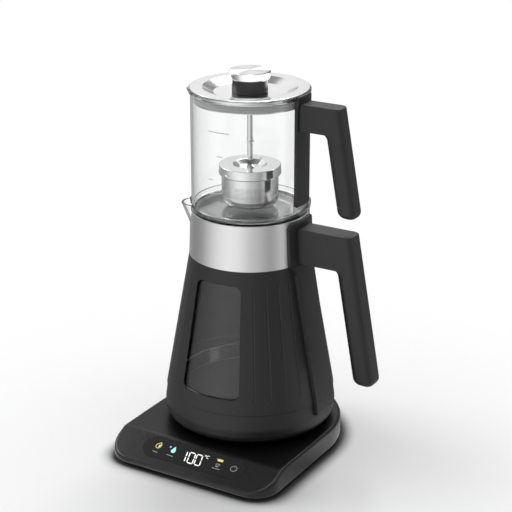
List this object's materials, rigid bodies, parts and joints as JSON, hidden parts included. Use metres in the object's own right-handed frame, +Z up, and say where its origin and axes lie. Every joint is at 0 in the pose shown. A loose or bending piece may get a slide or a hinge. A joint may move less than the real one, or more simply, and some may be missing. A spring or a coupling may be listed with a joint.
{
  "type": "automatic tea maker",
  "caption": "Glass kettle with a conical shell on a touch-control power base, carrying a glass teapot with a steel lid and a hanging infuser basket.",
  "frame": {"origin": "on the table plane, straight below the kettle's and teapot's shared axis", "axes": "+Z up, +X towards both handles, -Y towards the control strip"},
  "size_m": [0.2284, 0.2155, 0.3703],
  "materials": {
    "black_satin": "satin black",
    "black_gloss": "gloss black",
    "clear_glass": "clear",
    "band_steel": "satin",
    "pot_steel": "bright",
    "basket_steel": "fine perforated",
    "silicone": "matt translucent grey",
    "foot_rubber": "matt",
    "tinned_metal": "bright"
  },
  "bodies": {
    "base": {"base_housing": "black_gloss", "base_cover": "black_satin", "rubber_feet": "foot_rubber", "base_screws": "tinned_metal", "control_lens": "black_gloss", "display_module": "black_satin", "cord_gland": "black_satin", "power_connector": "black_satin"},
    "coupler": {"kettle_coupler": "black_satin"},
    "kettle": {"kettle_cup": "black_satin", "heating_plate": "pot_steel", "pan_seal": "silicone", "heating_element": "tinned_metal", "kettle_shell": "black_satin", "kettle_glass": "clear_glass", "steel_band": "band_steel", "kettle_strap": "black_satin", "kettle_handle": "black_satin"},
    "steam_plate": {"steam_plate": "pot_steel", "steam_plate_seal": "silicone"},
    "teapot": {"teapot_glass": "clear_glass", "teapot_strap": "black_satin", "teapot_handle": "black_satin"},
    "lid": {"lid_dish": "band_steel", "lid_plug": "silicone", "lid_seal": "silicone", "knob_neck": "black_satin", "knob_cap": "band_steel", "upper_rod": "pot_steel", "lower_rod": "pot_steel", "rod_joint": "tinned_metal", "infuser_cap": "pot_steel"},
    "infuser": {"infuser_basket": "basket_steel"}
  },
  "joints": [
    {"name": "kettle_lift", "type": "slide", "parent": "base", "child": "coupler", "axis": [0, 0, 1], "range_m": [0, 0.12]},
    {"name": "kettle_turn", "type": "hinge", "parent": "coupler", "child": "kettle", "pos_m": [0, 0, 0.03], "axis": [0, 0, 1], "continuous": true},
    {"name": "steam_plate_lift", "type": "slide", "parent": "kettle", "child": "steam_plate", "axis": [0, 0, 1], "range_m": [0, 0.05]},
    {"name": "teapot_lift", "type": "slide", "parent": "steam_plate", "child": "teapot", "axis": [0, 0, 1], "range_m": [0, 0.15]},
    {"name": "lid_lift", "type": "slide", "parent": "teapot", "child": "lid", "axis": [0, 0, 1], "range_m": [0, 0.13]},
    {"name": "basket_twist", "type": "hinge", "parent": "lid", "child": "infuser", "pos_m": [0, 0, 0.27], "axis": [0, 0, 1], "range_deg": [0, 30]}
  ]
}
